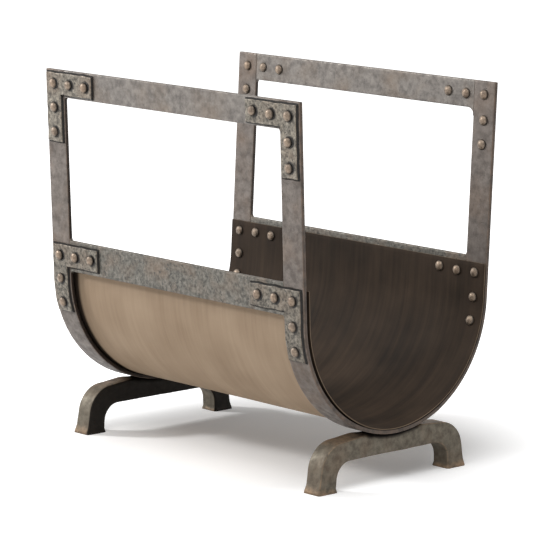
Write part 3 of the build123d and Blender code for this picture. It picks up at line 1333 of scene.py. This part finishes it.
@dataclass
class Feet:
    """The two arched feet: forged bars with soft arrises, a saddle and flared soles."""

    sizes: HolderSizes
    width: float = 25.0
    half_span: float = 124.0
    # The sole spreads by the flare on every side, from this height down.
    flare: float = 1.8
    flare_height: float = 8.4
    leg_thickness: float = 28.0
    inner_lean: float = math.radians(3)
    # Where the outer lines would meet at the shoulder and at the edge of the saddle, as (y, z).
    shoulder: tuple[float, float] = (113.25, 56.5)
    crest: tuple[float, float] = (46.0, 62.5)
    underside: float = 35.2
    outer_radius: float = 36.0
    inner_radius: float = 22.0
    saddle_clearance: float = 0.2
    # Radius of the arrises. Between these distances from the middle they grow broad at the saddle, where
    # their tops are painted black as shade.
    arris: float = 1.8
    saddle_arris: float = 7.0
    saddle_reach: tuple[float, float] = (38.0, 52.0)
    # Painted shade on the sides that look under the holder.
    under_painted_shade: float = 0.96
    # Wear of the soles up to this height, of the arrises, and of the shoulders between these distances.
    sole_wear_height: float = 17.0
    sole_wear: float = 1.0
    arris_wear: float = 0.8
    shoulder_wear: float = 0.95
    shoulder_reach: tuple[float, float] = (84.0, 118.0)
    # Slants of a face at which it counts as an arris or a top, and as facing under the holder.
    arris_slant: float = 0.3
    inner_slant: float = 0.5
    # Spacing of the points across, and the number of stretches along and around each part of the foot.
    pitch: float = 2.2
    leg_steps: int = 12
    bend_steps: int = 18
    top_steps: int = 36
    depth_steps: int = 9
    arris_steps: int = 3
    hammering: Hammering = Hammering(
        blow=10.0,
        blow_depth=0.2,
        lump=28.0,
        lump_depth=0.45,
        grain=3.0,
        grain_depth=0.1,
        seed=6,
    )
    # The relief of the two feet is taken this far apart, and is stretched like this down the sides.
    end_shift: float = 400.0
    depth_stretch: float = 1.7

    def build(self) -> None:
        """Builds and dresses both feet."""
        # Hand-forged bar: a dull warm grey-brown, pale on rubbed shoulders and soles,
        # with painted shade that is black on the saddle and on the sides under the holder.
        material = BurnishedIron(
            "forged_iron_foot",
            scale_colour="#716a5d",
            dark_colour="#575046",
            brown_colour="#765e4a",
            worn_colour="#977b60",
            painted_shade_colour="#14100c",
            mottle=9.0,
            pit_share=0.3,
            brown_share=0.3,
            roughness=0.55,
            specular=0.25,
        ).material()
        for end in End:
            finish_piece(self.foot(end), f"{end.name.lower()}_foot", material)

    def half_curves(self) -> tuple[list[Vector], list[Vector]]:
        """Finds matching points on the outer and the inner outline of the rear half of a foot.

        Returns:
            Outer and inner points from the floor to the middle, each as (0, y, z).
        """
        leg_outer = self.half_span - self.flare
        leg_inner = leg_outer - self.leg_thickness
        shoulder = Vector((0, *self.shoulder))
        crest = Vector((0, *self.crest))
        slope = (crest - shoulder).normalized()
        outer_bend = self.bend(Vector((0, leg_outer, 0)), shoulder, crest, self.outer_radius)
        middle = Vector((0, 0, self.underside))
        corner = Vector((0, leg_inner - self.underside * math.tan(self.inner_lean), self.underside))
        inner_bend = self.bend(Vector((0, leg_inner, 0)), corner, middle, self.inner_radius)
        up_leg = [i / self.leg_steps for i in range(self.leg_steps)]
        outer = [Vector((0, leg_outer, 0)).lerp(outer_bend[0], share) for share in up_leg] + outer_bend
        inner = [Vector((0, leg_inner, 0)).lerp(inner_bend[0], share) for share in up_leg] + inner_bend
        last_outer, last_inner = outer_bend[-1], inner_bend[-1]
        saddle = self.sizes.hoop.radius + self.saddle_clearance
        for i in range(1, self.top_steps + 1):
            left = 1 - i / self.top_steps
            y = last_outer.y * left
            ramp = last_outer.z + (last_outer.y - y) * slope.z / -slope.y
            top = min(ramp, self.crest[1], self.sizes.hoop.centre_z - math.sqrt(saddle**2 - y**2))
            outer.append(Vector((0, y, top)))
            inner.append(Vector((0, last_inner.y * left, self.underside)))
        return outer, inner

    def bend(self, start: Vector, corner: Vector, stop: Vector, radius: float) -> list[Vector]:
        """Rounds a corner with an arc.

        Args:
            start: a point on the first line.
            corner: where the two lines meet.
            stop: a point on the second line.
            radius: radius of the arc.

        Returns:
            Points along the arc, ends included.
        """
        first = (start - corner).normalized()
        second = (stop - corner).normalized()
        half = first.angle(second) / 2
        middle = corner + (first + second).normalized() * (radius / math.sin(half))
        from_middle = corner + first * (radius / math.tan(half)) - middle
        to_middle = corner + second * (radius / math.tan(half)) - middle
        turn = from_middle.angle(to_middle)
        axis = from_middle.cross(to_middle)
        angles = [turn * i / self.bend_steps for i in range(self.bend_steps + 1)]
        return [middle + Matrix.Rotation(angle, 3, axis) @ from_middle for angle in angles]

    def ring(self, depth: float, top_arris: float) -> list[tuple[float, float, float, float]]:
        """Lays out one cross-section of the foot.

        Args:
            depth: distance from the inner to the outer outline there.
            top_arris: radius of the two arrises on the outer outline.

        Returns:
            For each point: place across, share of the depth, and the outward direction in both.
        """
        half = self.width / 2
        top, low = depth - top_arris, self.arris
        # For each arris: its middle, its radius, and the steps along the flat face that follows it.
        wide_steps = round((self.width - 2 * self.arris) / self.pitch)
        arrises = [
            (half - top_arris, top, top_arris, wide_steps),
            (top_arris - half, top, top_arris, self.depth_steps),
            (self.arris - half, low, self.arris, wide_steps),
            (half - self.arris, low, self.arris, self.depth_steps),
        ]
        quarter = math.pi / 2
        points = []
        for index, (x, d, soft, steps) in enumerate(arrises):
            for step in range(self.arris_steps + 1):
                angle = quarter * index + quarter * step / self.arris_steps
                nx, nd = math.cos(angle), math.sin(angle)
                points.append((x + soft * nx, d + soft * nd, nx, nd))
            from_x, from_d = points[-1][:2]
            next_x, next_d, next_soft, _ = arrises[(index + 1) % len(arrises)]
            to_x, to_d = next_x + next_soft * nx, next_d + next_soft * nd
            for step in range(1, steps):
                share = step / steps
                points.append((from_x + (to_x - from_x) * share, from_d + (to_d - from_d) * share, nx, nd))
        return points

    def foot(self, end: End) -> bpy.types.Object:
        """Builds one foot as a row of cross-sections from sole to sole.

        Args:
            end: end of the holder.

        Returns:
            The foot's mesh object.
        """
        outer, inner = self.half_curves()
        mirror = Vector((1, -1, 1))
        rear = list(zip(outer, inner))
        stations = rear + [(o * mirror, i * mirror) for o, i in reversed(rear[:-1])]
        points: list[Vector] = []
        wear: list[float] = []
        soot: list[float] = []
        faces: list[list[int]] = []
        run = 0.0
        last = None
        for out_point, in_point in stations:
            across = out_point - in_point
            depth = across.length
            middle = (out_point + in_point) / 2
            run += (middle - last).length if last is not None else 0.0
            last = middle
            direction = across.normalized()
            widen = self.flare * (1 - smooth_step(0, self.flare_height, middle.z))
            on_saddle = 1 - smooth_step(*self.saddle_reach, abs(out_point.y))
            off_shoulder = smooth_step(*self.shoulder_reach, abs(out_point.y))
            top_arris = self.arris + (self.saddle_arris - self.arris) * on_saddle
            for offset, share, nx, nd in self.ring(depth, top_arris):
                near_saddle = on_saddle if share > depth / 2 else 0.0
                u = run + end.value * self.end_shift
                blow = self.hammering.depth(u, offset + share * self.depth_stretch, 0)
                push = blow * (1 - near_saddle) + widen
                x = end.value * self.sizes.hoop_x + offset + nx * push
                spot = in_point + direction * (share + nd * push)
                points.append(Vector((x, spot.y, max(spot.z, 0.0))))
                at_sole = 1 - smooth_step(0, self.sole_wear_height, middle.z)
                on_arris = self.arris_wear if min(abs(nx), abs(nd)) > self.arris_slant else 0.0
                faces_up = nd > self.arris_slant
                on_top = self.shoulder_wear * (1 - off_shoulder) if faces_up else 0.0
                wear.append(max(on_arris, on_top, at_sole * self.sole_wear))
                # Painted shade on the sides under the holder and on the top of the saddle.
                inside = self.under_painted_shade if -nx * end.value > self.inner_slant else 0.0
                soot.append(max(near_saddle if faces_up else 0.0, inside))
        count = len(self.ring(self.leg_thickness, self.arris))
        for station in range(len(stations) - 1):
            for step in range(count):
                a = station * count + step
                b = station * count + (step + 1) % count
                faces.append([a, b, b + count, a + count])
        faces.append(list(reversed(range(count))))
        faces.append([(len(stations) - 1) * count + step for step in range(count)])
        return mesh_object(f"{end.name.lower()}_foot_arch", points, faces, wear, soot)


@dataclass
class Screws:
    """The two screws that hold the hoops to the feet, hidden between the sheet and the feet."""

    def dress(self) -> None:
        """Gives the screws' own solids their finish."""
        # Nearly black and dull: painted shade for the dark gap in which the screw sits.
        material = BurnishedIron(
            "blackened_screw_steel",
            scale_colour="#2f2c29",
            dark_colour="#191713",
            worn_colour="#3a3631",
            mottle=2.5,
            metallic=0.2,
            specular=0.2,
        ).material()
        for end in End:
            name = f"{end.name.lower()}_foot_screw"
            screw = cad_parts[name]
            for place in screw.material_slots:
                place.link = "OBJECT"
                place.material = material
            log.info("%s: own solid, %s", name, material.name)


def seen_directly(tree: bpy.types.NodeTree) -> bpy.types.Node:
    """Adds nodes that give one for camera, glossy and transmission rays, and nought for the light on things.

    Args:
        tree: node tree of the floor's material or the world.

    Returns:
        The node whose value tells them apart.
    """
    rays = add_node(tree, "ShaderNodeLightPath").outputs
    seen = rays["Is Camera Ray"]
    for kind in ("Is Glossy Ray", "Is Transmission Ray"):
        either = add_node(tree, "ShaderNodeMath", {0: seen, 1: rays[kind]}, operation="MAXIMUM")
        seen = either.outputs["Value"]
    return either


@dataclass
class Studio:
    """Pale floor, white surroundings, soft lamps and the camera at the photograph's angle.

    Places and sizes are in metres here, powers in watts, the lens and the sensor in millimetres.
    """

    azimuth: float = math.radians(47.35)
    elevation: float = math.radians(9.77)
    roll: float = math.radians(0.47)
    place: tuple[float, float, float] = (2.8327, -2.6105, 0.8934)
    lens: float = 213.54
    sensor: float = 36.0
    floor_half: float = 60.0
    floor_colour: str = "#fafafa"
    # Painted light: the floor glows for camera and glossy rays, weakly under the object and fully far from
    # it, so that the shadow fades with distance. The glow near and far, and the distances between which it
    # rises.
    near_painted_glow: float = 0.12
    far_painted_glow: float = 1.0
    glow_start: float = 0.2
    glow_stop: float = 0.52
    # Light that the white surroundings throw on the object, as a share of how white they look.
    sky_light: float = 0.28
    key_place: tuple[float, float, float] = (-2.2, -1.4, 1.35)
    key_size: float = 0.4
    key_power: float = 50.0
    top_place: tuple[float, float, float] = (0.7, -1.0, 2.5)
    top_size: float = 2.0
    top_power: float = 46.0
    # Height at which the lamps are aimed, near the object's middle.
    aim_height: float = 0.22

    def build(self) -> None:
        """Sets up the camera, the lamps, the world and the floor."""
        self.camera()
        self.world()
        self.floor()
        self.lamp("key_softbox", self.key_place, self.key_size, self.key_power)
        self.lamp("top_softbox", self.top_place, self.top_size, self.top_power)
        bpy.context.scene.view_settings.view_transform = "Standard"

    def camera(self) -> None:
        """Places the camera and makes it the scene's own."""
        back = Vector(
            (
                math.sin(self.azimuth) * math.cos(self.elevation),
                -math.cos(self.azimuth) * math.cos(self.elevation),
                math.sin(self.elevation),
            )
        )
        level = Vector((math.cos(self.azimuth), math.sin(self.azimuth), 0))
        up = back.cross(level)
        right = level * math.cos(self.roll) + up * math.sin(self.roll)
        above = up * math.cos(self.roll) - level * math.sin(self.roll)
        data = bpy.data.cameras.new("photo_camera")
        data.lens = self.lens
        data.sensor_width = self.sensor
        camera = bpy.data.objects.new("photo_camera", data)
        turn = Matrix((right, above, back)).transposed().to_4x4()
        camera.matrix_world = Matrix.Translation(Vector(self.place)) @ turn
        bpy.context.collection.objects.link(camera)
        bpy.context.scene.camera = camera

    def world(self) -> None:
        """Lights the object evenly and shows plain white to the camera and in reflections."""
        world = bpy.data.worlds.new("studio_white")
        world.use_nodes = True
        tree = world.node_tree
        tree.nodes.clear()
        seen = seen_directly(tree)
        strength = add_node(
            tree,
            "ShaderNodeMapRange",
            {"Value": seen.outputs["Value"], "To Min": self.sky_light, "To Max": 1.0},
        )
        light = add_node(
            tree,
            "ShaderNodeBackground",
            {"Color": WHITE, "Strength": strength.outputs["Result"]},
        )
        add_node(tree, "ShaderNodeOutputWorld", {"Surface": light.outputs["Background"]})
        bpy.context.scene.world = world

    def floor(self) -> None:
        """Lays the pale floor, which keeps the object's shadow close by, while its painted glow fades the
        shadow farther away.
        """
        half = self.floor_half
        mesh = bpy.data.meshes.new("studio_floor")
        rim = [(-half, -half, 0), (half, -half, 0), (half, half, 0), (-half, half, 0)]
        mesh.from_pydata(rim, [], [(0, 1, 2, 3)])
        floor = bpy.data.objects.new("studio_floor", mesh)
        bpy.context.collection.objects.link(floor)
        material, tree = new_material("pale_studio_floor")
        seen = seen_directly(tree)
        place = add_node(tree, "ShaderNodeTexCoord").outputs["Object"]
        away = add_node(tree, "ShaderNodeVectorMath", {0: place}, operation="LENGTH")
        rise = add_node(
            tree,
            "ShaderNodeMapRange",
            {
                "Value": away.outputs["Value"],
                "From Min": self.glow_start,
                "From Max": self.glow_stop,
                "To Min": self.near_painted_glow,
                "To Max": self.far_painted_glow,
            },
        )
        # Painted light: the floor's glow, seen by the camera and in reflections.
        glow = add_node(
            tree,
            "ShaderNodeMath",
            {0: seen.outputs["Value"], 1: rise.outputs["Result"]},
            operation="MULTIPLY",
        )
        matte = add_node(tree, "ShaderNodeBsdfDiffuse", {"Color": linear(self.floor_colour)})
        shine = add_node(tree, "ShaderNodeEmission", {"Color": WHITE, "Strength": glow.outputs["Value"]})
        both = add_node(tree, "ShaderNodeAddShader", {0: matte.outputs["BSDF"], 1: shine.outputs["Emission"]})
        add_node(tree, "ShaderNodeOutputMaterial", {"Surface": both.outputs["Shader"]})
        mesh.materials.append(material)
        floor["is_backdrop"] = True

    def lamp(self, name: str, place: tuple[float, float, float], size: float, power: float) -> None:
        """Adds a square soft lamp that faces the object.

        Args:
            name: name of the lamp.
            place: where it stands, in metres.
            size: width of its square face, in metres.
            power: power in watts.
        """
        data = bpy.data.lights.new(name, "AREA")
        data.size = size
        data.energy = power
        lamp = bpy.data.objects.new(name, data)
        lamp.location = place
        away = Vector(place) - Vector((0, 0, self.aim_height))
        lamp.rotation_euler = away.to_track_quat("Z", "Y").to_euler()
        bpy.context.collection.objects.link(lamp)


def corners(box: tuple[Vector, Vector]) -> list[list[float]]:
    """Returns a box as two plain lists of numbers."""
    return [list(corner) for corner in box]


def main() -> None:
    """Builds the classes in order."""
    solid_box = corners(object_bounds())
    sizes = HolderSizes()
    for assembly in (Hoops, Rails, CornerPlates, CradleSheet, Rivets, Feet):
        assembly(sizes).build()
    Screws().dress()
    Studio().build()
    bpy.context.view_layer.update()
    {"cad": solid_box, "visual": corners(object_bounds())}


if __name__ == "__main__":
    logging.basicConfig(level=logging.INFO, format="%(name)s %(message)s")
    main()
